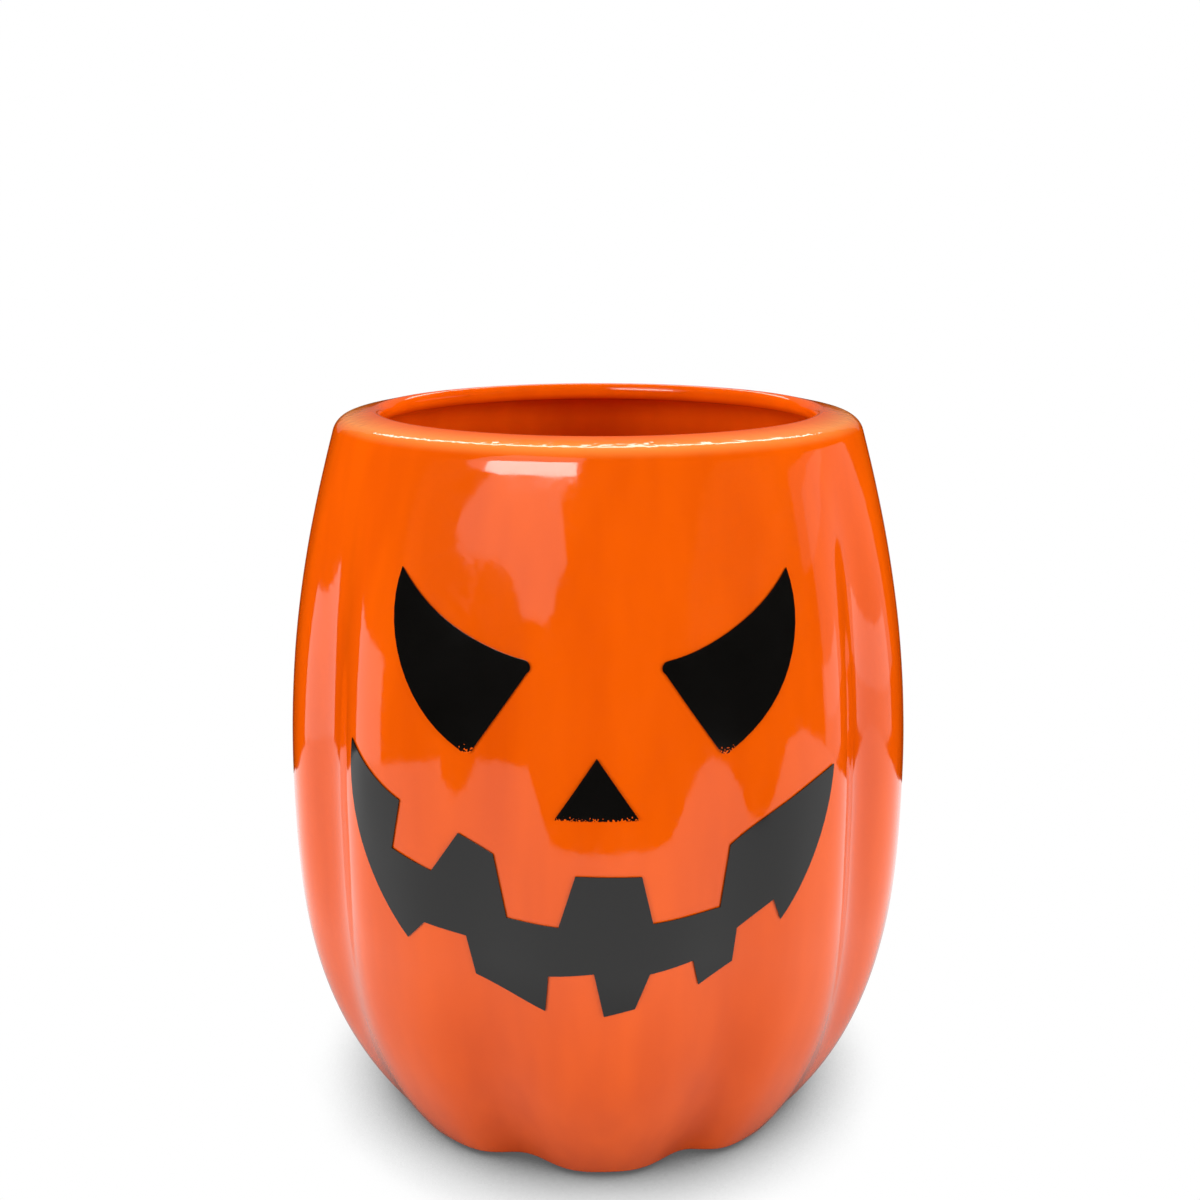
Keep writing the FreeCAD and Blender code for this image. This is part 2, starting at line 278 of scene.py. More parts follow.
def outside_stations(form):
    """From the edge of the glaze round the toe, up the wall, over the rim and round the lip."""
    lower = [base_half(form, s) for s in WALL_SHARES]
    upper = [shoulder_half(form, s) for s in WALL_SHARES]
    toe_radius = form.toe_rise / (1 + math.sin(lower[0][2]))
    toe = arc_from(lower[0], toe_radius, -math.pi / 2)
    crest_lean = math.pi / 2 - form.rim_slope
    lip = form.shoulder_radius - form.rim_width + form.lip_round
    shoulder = arc_from(upper[-1], form.shoulder_round, crest_lean)
    crest = arc(lip, form.height - form.lip_round, form.lip_round, crest_lean, math.pi)
    under = form.height - form.lip_height + form.lip_round
    underside = arc(lip, under, form.lip_round, math.pi, math.pi * 3 / 2)
    return toe[:0:-1] + lower + upper[1:] + shoulder[1:] + crest + underside


def quarter(wall_end, flat_end):
    """Quarter ellipse that starts along the wall and ends flat, without its two ends."""
    turns = [math.pi / 2 * i / ROUND_STEPS for i in range(1, ROUND_STEPS)]
    wide, high = wall_end[0] - flat_end[0], wall_end[1] - flat_end[1]
    return [(flat_end[0] + wide * math.cos(t), wall_end[1] - high * math.sin(t)) for t in turns]


def bore_points(form, depth):
    """Radii and levels inside, from the underside of the lip down to the middle of the floor."""
    start = sunk(outside_stations(form)[-1:], depth)[0]
    upper = [shoulder_half(form, BORE_TOP_SHARE * (1 - s)) for s in WALL_SHARES]
    lower = [base_half(form, 1 - (1 - BORE_FOOT_SHARE) * s) for s in WALL_SHARES]
    wall = sunk(upper + lower[1:], form.wall + form.liner_cover - depth)
    floor_level = form.foot_height + form.floor - depth
    floor_ring = (form.base_radius - form.floor_inset, floor_level)
    under_lip = quarter(wall[0], start)[::-1]
    return [start] + under_lip + wall + quarter(wall[-1], floor_ring) + [floor_ring, (0.0, floor_level)]


# Lobed surface

def crease_depth(form, crease, level):
    """Depth of a crease: it blends from the base to the belly and runs out at the shoulder."""
    on_face = crease in FACE_CREASE_ANGLES
    at_base = form.face_crease_at_base if on_face else form.other_crease_at_base
    at_belly = form.face_crease_at_belly if on_face else form.other_crease_at_belly
    belly = belly_level(form)
    if level < belly:
        up = max(0.0, (level - form.foot_height) / (belly - form.foot_height))
        return at_base + (at_belly - at_base) * up ** 2 * (3 - 2 * up)
    up = min(1.0, (level - belly) / (shoulder_level(form) - belly))
    return at_belly * (1 - up ** 2)


def hollow(form, angle, level):
    """How far the lobed wall lies inside its ridge line, at an angle in degrees from the front."""
    for crease, following in zip(CREASE_ANGLES, CREASE_ANGLES[1:] + CREASE_ANGLES[:1]):
        width = (following - crease) % 360
        across = ((angle - crease) % 360) / width
        if across <= 1:
            nearest = crease if across < 0.5 else following
            return crease_depth(form, nearest, level) * abs(math.cos(math.pi * across)) ** CREASE_POWER
    raise ValueError(f"no lobe at {angle} degrees")


def stray(form, angle, level):
    """How far the fired surface strays outwards from the true form."""
    turn = math.radians(angle)
    place = Vector((form.belly_radius * math.sin(turn), form.belly_radius * math.cos(turn), level))
    broad = noise.noise(place / form.waver_size)
    fine = noise.noise(place / (form.waver_size * FINE_WAVER_SIZE_SHARE))
    return form.waver * (broad + FINE_WAVER_SHARE * fine)


def lobed(form, radius, angle, level):
    """Point of the lobed surface whose ridge has that radius at that level."""
    reach = radius - hollow(form, angle, level) + stray(form, angle, level)
    turn = math.radians(angle)
    return Vector((reach * math.sin(turn), -reach * math.cos(turn), level))


def ridge_radius(form, level):
    """Radius of the outside wall on its ridges."""
    belly = belly_level(form)
    if level < belly:
        return base_half(form, (level - base_level(form)) / (belly - base_level(form)))[0]
    return shoulder_half(form, (level - belly) / (shoulder_level(form) - belly))[0]


def on_glaze(form, across, level, lift):
    """Point of the front of the crock that far to the right and that high, lifted off the glaze."""
    radius = ridge_radius(form, level) + lift
    angle = math.degrees(math.asin(across / radius))
    for _ in range(SEAT_TURNS):
        reach = radius - hollow(form, angle, level) + stray(form, angle, level)
        angle = math.degrees(math.asin(across / reach))
    return lobed(form, radius, angle, level)


# Meshes

def spun(points, closed):
    """Mesh turned about the crock's axis from radii and levels, closed at its poles."""
    made = bmesh.new()
    line = [made.verts.new((0.0, -radius, level)) for radius, level in points]
    edges = [made.edges.new(pair) for pair in zip(line, line[1:])]
    if closed:
        edges.append(made.edges.new((line[-1], line[0])))
    bmesh.ops.spin(
        made, geom=line + edges, cent=(0, 0, 0), axis=(0, 0, 1), dvec=(0, 0, 0), angle=math.tau,
        steps=RING_STEPS, use_merge=True, use_duplicate=False)
    bmesh.ops.remove_doubles(made, verts=made.verts[:], dist=MERGE_DISTANCE)
    bmesh.ops.recalc_face_normals(made, faces=made.faces[:])
    return made


def press_lobes(made, form):
    """Presses the creases into a turned mesh and notes how deep the creases lie, where the glaze is drawn
    darker, and the band on the rim's bend, drawn lighter for thinner glaze and a painted sheen.
    """
    darkening = made.verts.layers.float.new(CREASE_DARKENING)
    crest = made.verts.layers.float.new(CREST)
    deepest = max(form.other_crease_at_belly, form.face_crease_at_base)
    wall_top = shoulder_level(form)
    for vert in made.verts:
        radius = math.hypot(vert.co.x, vert.co.y)
        level = vert.co.z
        if radius > form.shoulder_radius - form.rim_width / 2:
            # Band on the rim's bend: its lighter orange is partly thinner glaze and partly a painted golden
            # sheen
            off_crest = abs((level - wall_top) / form.shoulder_drop - CREST_SHARE)
            vert[crest] = max(0.0, 1 - off_crest / CREST_SPREAD_SHARE)
        if radius < form.lip_round:
            continue
        angle = math.degrees(math.atan2(vert.co.x, -vert.co.y))
        # Depth of the crease here, for the glaze drawn darker in the creases
        vert[darkening] = hollow(form, angle, level) / deepest
        vert.co = lobed(form, radius, angle, level)


def bend(start, middle, end):
    """Points on the arc through three points of a flat outline, without its end."""
    (ax, ay), (bx, by), (cx, cy) = start, middle, end
    turn = 2 * (ax * (by - cy) + bx * (cy - ay) + cx * (ay - by))
    a, b, c = ax * ax + ay * ay, bx * bx + by * by, cx * cx + cy * cy
    centre = Vector(((a * (by - cy) + b * (cy - ay) + c * (ay - by)) / turn,
                     (a * (cx - bx) + b * (ax - cx) + c * (bx - ax)) / turn))
    first, last = Vector(start) - centre, Vector(end) - centre
    sweep = math.atan2(first.x * last.y - first.y * last.x, first.dot(last))
    if (turn > 0) != (sweep > 0):
        sweep -= math.copysign(math.tau, sweep)
    begin = math.atan2(first.y, first.x)
    turns = [begin + sweep * i / CURVE_STEPS for i in range(CURVE_STEPS)]
    return [(centre.x + first.length * math.cos(t), centre.y + first.length * math.sin(t)) for t in turns]


def eye_outline(form, face, side):
    """Flat outline of one eye: side is -1 for the left one and 1 for the right one."""
    def at(shares):
        across = face.shift + side * (face.eye_spread + face.eye_width * shares[0])
        return across, form.height * face.eye_level_share + face.eye_height * shares[1]
    tip, brow, outside = at(EYE_TIP_SHARES), at(EYE_BROW_SHARES), at(EYE_OUTSIDE_SHARES)
    corner = [at(shares) for shares in EYE_CORNER_SHARES]
    bottom = [at(shares) for shares in EYE_BOTTOM_SHARES]
    return (bend(tip, brow, corner[0]) + bend(*corner) + [corner[-1]]
            + bend(*bottom) + bend(bottom[-1], outside, tip))


def nose_outline(form, face):
    """Flat outline of the nose, a triangle."""
    level = form.height * face.nose_level_share
    half = face.nose_width / 2
    apex = (face.shift, level + face.nose_height)
    return [apex, (face.shift - half, level), (face.shift + half, level)]


def grin_outline(form, face):
    """Flat outline of the toothed grin: curved lips and cheeks, straight-sided teeth."""
    def at(shares):
        across = face.shift + face.grin_width / 2 * shares[0]
        return across, form.height * face.grin_level_share + face.grin_height * shares[1]
    left_tip, right_tip = at(GRIN_LEFT_TIP_SHARES), at(GRIN_RIGHT_TIP_SHARES)
    teeth = [at(shares) for shares in GRIN_TEETH_SHARES]
    jaw = [at(shares) for shares in GRIN_JAW_SHARES]
    return (bend(left_tip, at(GRIN_LEFT_LIP_SHARES), teeth[0]) + teeth[:-1]
            + bend(teeth[-1], at(GRIN_RIGHT_LIP_SHARES), right_tip)
            + bend(right_tip, at(GRIN_RIGHT_CHEEK_SHARES), jaw[0]) + jaw[:-1]
            + bend(jaw[-1], at(GRIN_LEFT_CHEEK_SHARES), left_tip))


def cut_across(made, place, facing):
    """Cuts every face of a flat mesh along one plane."""
    geom = made.verts[:] + made.edges[:] + made.faces[:]
    bmesh.ops.bisect_plane(made, geom=geom, dist=MERGE_DISTANCE, plane_co=place, plane_no=facing)


def printed(form, face, outline, fray):
    """Print of a flat outline, laid over the front of the crock, with a broken bottom edge."""
    made = bmesh.new()
    made.faces.new([made.verts.new((across, 0.0, level)) for across, level in outline])
    low = Vector([min(p[i] for p in outline) for i in (0, 1)])
    high = Vector([max(p[i] for p in outline) for i in (0, 1)])
    for i in range(1, math.ceil((high.x - low.x) / PRINT_GRID)):
        cut_across(made, (low.x + i * PRINT_GRID, 0, 0), (1, 0, 0))
    for i in range(1, math.ceil((high.y - low.y) / PRINT_GRID)):
        cut_across(made, (0, 0, low.y + i * PRINT_GRID), (0, 0, 1))
    if fray:
        cut_across(made, (0, 0, low.y + fray), (0, 0, 1))
    bmesh.ops.recalc_face_normals(made, faces=made.faces[:])
    if made.faces[:][0].normal.y > 0:
        bmesh.ops.reverse_faces(made, faces=made.faces[:])
    broken = made.verts.layers.float.new(FRAY)
    for vert in made.verts:
        vert[broken] = max(0.0, 1 - (vert.co.z - low.y) / fray) if fray else 0.0
        vert.co = on_glaze(form, vert.co.x, vert.co.z, face.lift)
    made.normal_update()
    bmesh.ops.solidify(made, geom=made.faces[:], thickness=face.thickness)
    return made


def finished(made, name, material, node):
    """Turns a bmesh into a piece of the object that stands for a CAD node."""
    if not made.faces:
        raise RuntimeError(f"{name} has no faces")
    mesh = bpy.data.meshes.new(name)
    made.to_mesh(mesh)
    made.free()
    mesh.shade_smooth()
    mesh.set_sharp_from_angle(angle=SHARP_ANGLE)
    mesh.materials.append(material)
    piece = bpy.data.objects.new(name, mesh)
    bpy.context.scene.collection.objects.link(piece)
    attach(piece, BODY)
    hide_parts(node)


# Finishes

def add(tree, kind, values=None, links=None):
    """Adds a node, sets its fields and sockets, and links outputs of other nodes to its sockets."""
    made = tree.nodes.new(kind)
    for key, value in (values or {}).items():
        if isinstance(key, int) or key in made.inputs:
            made.inputs[key].default_value = value
        else:
            setattr(made, key, value)
    for key, source in (links or {}).items():
        tree.links.new(source, made.inputs[key])
    return made


def new_finish(name):
    """New material and its node tree, which is still empty."""
    material = bpy.data.materials.new(name)
    material.use_nodes = True
    material.node_tree.nodes.clear()
    return material, material.node_tree


def rgba(value):
    """Colour with full cover."""
    return (*value, 1.0)


# Sizes of what shows on the finishes, in metres. Peel, print grain and grit are drawn coarser than the real
# ones, so that they show
STREAK_WIDTH = 0.012
PEEL_SIZE = 0.0026
SWELL_SIZE = 0.014
SKIN_DEPTH = 0.00025
PRINT_GRAIN = 0.0005
GRIT_SIZE = 0.0008
CLAY_PATCH = 0.009

# How strongly each shows. The squeeze is of the pattern's upright coordinate, which draws it out into streaks
STREAK_SQUEEZE_SHARE = 0.16
STREAK_SHARE = 0.45
# Darker orange in the creases, by their depth
CREASE_DARKENING_SHARE = 0.45
# Cover of the lighter orange on the rim's bend: thinner glaze and a painted golden sheen
THIN_AND_SHEEN_SHARE = 0.55
PEEL_SHARE = 0.12
CREST_PEEL_SHARE = 1.6
GLAZE_BUMP_SHARE = 0.12
FRAY_SHARE = 0.45
PALE_BLACK_SHARE = 1.8
CLOUD_SHARE = 0.35
CLAY_BUMP_SHARE = 0.4

# Levels of a pattern between which a mark comes in, and how many finer patterns are laid over it
STREAK_LEVELS = (0.35, 0.65)
PEEL_LEVELS = (-0.4, 0.4)
SWELL_LEVELS = (0.3, 0.7)
GAP_LEVELS = (0.9, 0.94)
GRIT_LEVELS = (0.6, 0.72)
SMOOTH_DETAIL = 1.0
PLAIN_DETAIL = 2.0
CLOUD_DETAIL = 4.0

# How the surfaces mirror: fired ceramic and its glaze bend light as glass does
CERAMIC_IOR = 1.5
GLAZE_ROUGHNESS = (0.045, 0.085)
PRINT_ROUGHNESS = (0.08, 0.13)
CLAY_ROUGHNESS = (0.75, 0.95)


def gloss_glaze(name, even, deep, thin_and_sheen):
    """Gloss glaze: even colour, drawn darker in the creases and lighter over the rim's bend, for thinner
    glaze and a painted sheen.
    """
    # Fired lead-free gloss glaze over a coloured stain. It mirrors like glass, runs in faint upright
    # streaks, and its skin swells a little and has a fine orange-peel.
    material, tree = new_finish(name)
    place = add(tree, "ShaderNodeTexCoord").outputs["Object"]
    upright = add(tree, "ShaderNodeMapping", {"Scale": (1, 1, STREAK_SQUEEZE_SHARE)}, {"Vector": place})
    streaks = add(tree, "ShaderNodeTexNoise", {"Scale": 1 / STREAK_WIDTH, "Detail": PLAIN_DETAIL},
                  {"Vector": upright.outputs[0]})
    spread = add(tree, "ShaderNodeMapRange",
                 {"From Min": STREAK_LEVELS[0], "From Max": STREAK_LEVELS[1], "To Max": STREAK_SHARE},
                 {"Value": streaks.outputs[0]})
    darkening = add(tree, "ShaderNodeAttribute", {"attribute_name": CREASE_DARKENING}).outputs["Fac"]
    # Darker in the creases by their depth, and along the streaks
    darkening_and_streaks = add(tree, "ShaderNodeMath", {"operation": "MULTIPLY_ADD", 1: CREASE_DARKENING_SHARE},
                  {0: darkening, 2: spread.outputs[0]})
    body = add(tree, "ShaderNodeMix", {"data_type": "RGBA", 6: rgba(even), 7: rgba(deep)},
               {0: darkening_and_streaks.outputs[0]})
    crest = add(tree, "ShaderNodeAttribute", {"attribute_name": CREST}).outputs["Fac"]
    # Lighter orange over the rim's bend: partly thinner glaze, partly a painted golden sheen
    thin_and_sheen_cover = add(tree, "ShaderNodeMath", {"operation": "MULTIPLY", 1: THIN_AND_SHEEN_SHARE}, {0: crest})
    tint = add(tree, "ShaderNodeMix", {"data_type": "RGBA", 7: rgba(thin_and_sheen)},
               {0: thin_and_sheen_cover.outputs[0], 6: body.outputs[2]})
    swell = add(tree, "ShaderNodeTexNoise", {"Scale": 1 / SWELL_SIZE, "Detail": SMOOTH_DETAIL},
                {"Vector": place})
    peel = add(tree, "ShaderNodeTexNoise",
               {"normalize": False, "Scale": 1 / PEEL_SIZE, "Detail": SMOOTH_DETAIL}, {"Vector": place})
    uneven = add(tree, "ShaderNodeMath", {"operation": "MULTIPLY_ADD", 1: CREST_PEEL_SHARE, 2: PEEL_SHARE},
                 {0: crest})
    skin = add(tree, "ShaderNodeMath", {"operation": "MULTIPLY_ADD"},
               {0: peel.outputs[0], 1: uneven.outputs[0], 2: swell.outputs[0]})
    bump = add(tree, "ShaderNodeBump", {"Strength": GLAZE_BUMP_SHARE, "Distance": SKIN_DEPTH},
               {"Height": skin.outputs[0]})
    gloss = add(tree, "ShaderNodeMapRange",
                {"From Min": PEEL_LEVELS[0], "From Max": PEEL_LEVELS[1],
                 "To Min": GLAZE_ROUGHNESS[0], "To Max": GLAZE_ROUGHNESS[1]},
                {"Value": peel.outputs[0]})
    shader = add(tree, "ShaderNodeBsdfPrincipled", {"IOR": CERAMIC_IOR},
                 {"Base Color": tint.outputs[2], "Roughness": gloss.outputs[0], "Normal": bump.outputs[0]})
    add(tree, "ShaderNodeOutputMaterial", None, {"Surface": shader.outputs[0]})
    return material


def ceramic_print(black, under):
    """Black print: solid colour with a broken, dotted bottom edge."""
    # Screen-printed ceramic colour fired onto the glaze. It is almost black and almost as glossy as the
    # glaze, and where the screen ran out it breaks into fine dots with the orange between them.
    material, tree = new_finish("black_ceramic_print")
    place = add(tree, "ShaderNodeTexCoord").outputs["Object"]
    grain = add(tree, "ShaderNodeTexNoise", {"Scale": 1 / PRINT_GRAIN, "Detail": SMOOTH_DETAIL},
                {"Vector": place})
    fray = add(tree, "ShaderNodeAttribute", {"attribute_name": FRAY}).outputs["Fac"]
    sparse = add(tree, "ShaderNodeMath", {"operation": "MULTIPLY_ADD", 1: FRAY_SHARE},
                 {0: fray, 2: grain.outputs[0]})
    gaps = add(tree, "ShaderNodeMapRange", {"From Min": GAP_LEVELS[0], "From Max": GAP_LEVELS[1]},
               {"Value": sparse.outputs[0]})
    swell = add(tree, "ShaderNodeTexNoise", {"Scale": 1 / SWELL_SIZE, "Detail": PLAIN_DETAIL},
                {"Vector": place})
    pale = [channel * PALE_BLACK_SHARE for channel in black]
    shade = add(tree, "ShaderNodeMix", {"data_type": "RGBA", 6: rgba(black), 7: rgba(pale)},
                {0: swell.outputs[0]})
    tint = add(tree, "ShaderNodeMix", {"data_type": "RGBA", 7: rgba(under)},
               {0: gaps.outputs[0], 6: shade.outputs[2]})
    bump = add(tree, "ShaderNodeBump", {"Strength": GLAZE_BUMP_SHARE, "Distance": SKIN_DEPTH},
               {"Height": swell.outputs[0]})
    gloss = add(tree, "ShaderNodeMapRange",
                {"From Min": SWELL_LEVELS[0], "From Max": SWELL_LEVELS[1],
                 "To Min": PRINT_ROUGHNESS[0], "To Max": PRINT_ROUGHNESS[1]},
                {"Value": swell.outputs[0]})
    shader = add(tree, "ShaderNodeBsdfPrincipled", {"IOR": CERAMIC_IOR},
                 {"Base Color": tint.outputs[2], "Roughness": gloss.outputs[0], "Normal": bump.outputs[0]})
    add(tree, "ShaderNodeOutputMaterial", None, {"Surface": shader.outputs[0]})
    return material


def bare_stoneware(clay, grit):
    """Unglazed foot: matt buff clay with darker grit."""
    # Fired stoneware left bare and wiped with a sponge: dry, without a shine, buff with cloudy patches
    # and dark grit that stands a little proud.
    material, tree = new_finish("bare_buff_stoneware")
    place = add(tree, "ShaderNodeTexCoord").outputs["Object"]
    patch = add(tree, "ShaderNodeTexNoise", {"Scale": 1 / CLAY_PATCH, "Detail": CLOUD_DETAIL},
                {"Vector": place})
    specks = add(tree, "ShaderNodeTexNoise", {"Scale": 1 / GRIT_SIZE, "Detail": PLAIN_DETAIL},
                 {"Vector": place})
    dark = add(tree, "ShaderNodeMapRange", {"From Min": GRIT_LEVELS[0], "From Max": GRIT_LEVELS[1]},
               {"Value": specks.outputs[0]})
    cloud = add(tree, "ShaderNodeMath", {"operation": "MULTIPLY_ADD", 1: CLOUD_SHARE},
                {0: patch.outputs[0], 2: dark.outputs[0]})
    tint = add(tree, "ShaderNodeMix", {"data_type": "RGBA", 6: rgba(clay), 7: rgba(grit)},
               {0: cloud.outputs[0]})
    bump = add(tree, "ShaderNodeBump", {"Strength": CLAY_BUMP_SHARE, "Distance": SKIN_DEPTH},
               {"Height": specks.outputs[0]})
    rough = add(tree, "ShaderNodeMapRange", {"To Min": CLAY_ROUGHNESS[0], "To Max": CLAY_ROUGHNESS[1]},
                {"Value": patch.outputs[0]})
    shader = add(tree, "ShaderNodeBsdfPrincipled", {"IOR": CERAMIC_IOR},
                 {"Base Color": tint.outputs[2], "Roughness": rough.outputs[0], "Normal": bump.outputs[0]})
    add(tree, "ShaderNodeOutputMaterial", None, {"Surface": shader.outputs[0]})
    return material


# Operators

class CROCK_OT_outer_glaze(bpy.types.Operator):
    """Coats the outside and the rim with orange glaze"""
    bl_idname = "crock.outer_glaze"
    bl_label = "Outer glaze"

    def execute(self, context):
        form, finish = context.scene.crock_form, context.scene.crock_finish
        stations = outside_stations(form)
        clay_side = sunk(stations, form.glaze)
        coarse = clay_side[:-1:CLAY_SIDE_STRIDE] + clay_side[-1:]
        made = spun(sunk(stations, 0.0) + coarse[::-1], closed=True)
        press_lobes(made, form)
        glaze = gloss_glaze("orange_gloss_glaze", finish.orange, finish.deep_orange, finish.thin_glaze_and_sheen_orange)
        finished(made, "orange_glaze_coat", glaze, "outer_glaze")
        return {"FINISHED"}


class CROCK_OT_liner_glaze(bpy.types.Operator):
    """Coats the inside with glaze, from the underside of the lip to the floor"""
    bl_idname = "crock.liner_glaze"
    bl_label = "Liner glaze"

    def execute(self, context):
        form, finish = context.scene.crock_form, context.scene.crock_finish
        made = spun(bore_points(form, 0.0)[::-1] + bore_points(form, form.glaze), closed=False)
        press_lobes(made, form)
        glaze = gloss_glaze("liner_gloss_glaze", finish.liner, finish.deep_liner, finish.thin_glaze_and_sheen_orange)
        finished(made, "liner_glaze_coat", glaze, "liner_glaze")
        return {"FINISHED"}


class CROCK_OT_face_print(bpy.types.Operator):
    """Prints the eyes, the nose and the grin on the front"""
    bl_idname = "crock.face_print"
    bl_label = "Printed face"

    def execute(self, context):
        scene = context.scene
        form, face, finish = scene.crock_form, scene.crock_face, scene.crock_finish
        black = ceramic_print(finish.black, finish.orange)
        prints = {
            "left_eye": (eye_outline(form, face, -1), face.eye_fray),
            "right_eye": (eye_outline(form, face, 1), face.eye_fray),
            "nose": (nose_outline(form, face), face.nose_fray),
            "grin": (grin_outline(form, face), 0.0),
        }
        for name, (outline, fray) in prints.items():
            made = printed(form, face, outline, fray)
            finished(made, f"{name}_black_print", black, f"{name}_print")
        return {"FINISHED"}


class CROCK_OT_bare_clay(bpy.types.Operator):
    """Gives the casting, which shows at the foot and underneath, its bare clay"""
    bl_idname = "crock.bare_clay"
    bl_label = "Bare clay"

    def execute(self, context):
        finish = context.scene.crock_finish
        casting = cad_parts["stoneware_body"]
        casting.data.materials.clear()
        casting.data.materials.append(bare_stoneware(finish.clay, finish.dark_clay))
        return {"FINISHED"}


# Stage: floor, cards, lamps and camera. Places in metres, turns in degrees
FLOOR_REACH = 6.0
SHEET_GAP = 0.0002
SHEET_CORNERS = (
    (0.0, 0.25), (-0.2, 0.225), (-0.28, 0.188), (-0.36, 0.155), (-0.46, 0.075), (-0.49, -0.05),
    (-0.53, -0.22), (-0.49, -0.385), (-0.4, -0.5), (-0.34, -0.45), (-0.29, -0.42), (-0.155, -0.333),
    (-0.1, -0.338), (-0.02, -0.348), (0.04, -0.35), (0.12, -0.336), (0.174, -0.322), (0.24, -0.34),
    (0.3, -0.37), (0.37, -0.39), (0.5, -0.43), (0.63, -0.44), (0.72, -0.29), (0.62, -0.15), (0.52, -0.06),
    (0.47, -0.01), (0.4, 0.06), (0.36, 0.105), (0.28, 0.16), (0.2, 0.2))
WHITE = (1.0, 1.0, 1.0, 1.0)

# Shadow on the floor: its reach, how open the floor is at the shadow's core and edge, and its darkest grey
SHADOW_REACH = 0.05
SHADOW_SAMPLES = 16
SHADOW_CORE_SHARE = 0.2
SHADOW_EDGE_SHARE = 0.6
SHADOW_GREY = 0.1

# Shade round the crock on the floor that the glaze mirrors
SHADE_RADII = (0.17, 0.19)
SHADE_DEPTH_SHARE = 1.06
SHADE_STEPS = 64

# Cards that the glaze mirrors: distance, strength, width of the faded edge, and corners as turns from the
# front towards +X and upwards
CARD_AIM_SHARE = 0.8
CARDS = {
    "window_card": (1.8, 1.25, 0.02, (
        (-57, 60), (-9, 60), (-9, 27), (-14, 24), (-18.5, 22), (-16, 14), (-22, 11), (-24, 7.5), (-30, 5),
        (-40, 4), (-41, 8), (-44, 10), (-51, 13), (-51, 15), (-45, 18), (-57, 22))),
    "window_lamp_card": (1.4, 11.0, 0.02, ((-42, 18.5), (-11, 25.5), (-11, 38), (-48, 32), (-48, 19.5))),
    "left_card": (1.8, 1.4, 0.2, ((-112, -17.5), (-82, -17.5), (-82, -4), (-112, -4))),
    "right_card": (1.9, 0.4, 0.2, ((86, -12), (122, -12), (122, 12), (86, 12))),
    "right_low_card": (1.8, 0.8, 0.15, ((84, -17), (112, -17), (112, -6), (84, -6))),
    "right_high_card": (1.7, 0.3, 0.14, ((80, 5), (104, 5), (104, 15), (80, 15))),
    "backdrop_card": (2.2, 0.16, 0.25, ((148, 4), (212, 4), (212, 28), (148, 28))),
    "back_card": (1.8, 5.0, 0.02, (
        (150, 28), (165, 34), (180, 38), (195, 34), (210, 28), (210, 36), (195, 44), (180, 50), (165, 44),
        (150, 36))),
}

# Lamps: turn from the front towards +X, turn upwards, strength
LAMPS = {
    "left_lamp": (-62, 6, 2.4),
    "right_lamp": (62, 6, 2.45),
    "back_left_lamp": (-135, 42, 1.9),
    "back_right_lamp": (135, 42, 1.9),
}
LAMP_SOFTNESS = 40
WORLD_STRENGTH = 0.48
SENSOR_WIDTH = 36.0
IMAGE_SIDE = 1200
SHIFT_PIXELS = 2
NEAR_CLIP = 0.01


def white_paper(paper):
    """Floor: matt white paper, which shows as white and keeps the shadow of what stands on it."""
    material, tree = new_finish("matt_white_paper")
    shade = add(tree, "ShaderNodeAmbientOcclusion", {"samples": SHADOW_SAMPLES, "Distance": SHADOW_REACH})
    level = add(tree, "ShaderNodeMapRange",
                {"From Min": SHADOW_CORE_SHARE, "From Max": SHADOW_EDGE_SHARE, "To Min": SHADOW_GREY},
                {"Value": shade.outputs["AO"]})
    dim = add(tree, "ShaderNodeAttribute", {"attribute_name": DIM}).outputs["Fac"]
    clear = add(tree, "ShaderNodeMath", {"operation": "SUBTRACT", 0: 1.0, "use_clamp": True}, {1: dim})
    left = add(tree, "ShaderNodeMath", {"operation": "MULTIPLY"},
               {0: level.outputs[0], 1: clear.outputs[0]})
    shown = add(tree, "ShaderNodeEmission", {"Color": WHITE}, {"Strength": left.outputs[0]})
    sheet = add(tree, "ShaderNodeBsdfDiffuse", {"Color": rgba(paper)})
    path = add(tree, "ShaderNodeLightPath")
    seen = add(tree, "ShaderNodeMath", {"operation": "MAXIMUM"},
               {0: path.outputs["Is Camera Ray"], 1: path.outputs["Is Glossy Ray"]})
    mirrored = add(tree, "ShaderNodeMath", {"operation": "MAXIMUM"},
                   {0: seen.outputs[0], 1: path.outputs["Is Transmission Ray"]})
    surface = add(tree, "ShaderNodeMixShader", None,
                  {0: mirrored.outputs[0], 1: sheet.outputs[0], 2: shown.outputs[0]})
    add(tree, "ShaderNodeOutputMaterial", None, {"Surface": surface.outputs[0]})
    return material


def lit_cloth(name, strength):
    """Softbox front: white cloth lit from behind, which fades towards its edges."""
    material, tree = new_finish(name)
    glow = add(tree, "ShaderNodeAttribute", {"attribute_name": GLOW}).outputs["Fac"]
    lit = add(tree, "ShaderNodeMath", {"operation": "MULTIPLY", 1: strength}, {0: glow})
    cloth = add(tree, "ShaderNodeEmission", {"Color": WHITE}, {"Strength": lit.outputs[0]})
    clear = add(tree, "ShaderNodeBsdfTransparent")
    surface = add(tree, "ShaderNodeAddShader", None, {0: cloth.outputs[0], 1: clear.outputs[0]})
    add(tree, "ShaderNodeOutputMaterial", None, {"Surface": surface.outputs[0]})
    return material


def place_on_stage(name, made, material):
    """Turns a bmesh into an object of the stage."""
    mesh = bpy.data.meshes.new(name)
    made.to_mesh(mesh)
    made.free()
    mesh.materials.append(material)
    obj = bpy.data.objects.new(name, mesh)
    bpy.context.scene.collection.objects.link(obj)
    return obj


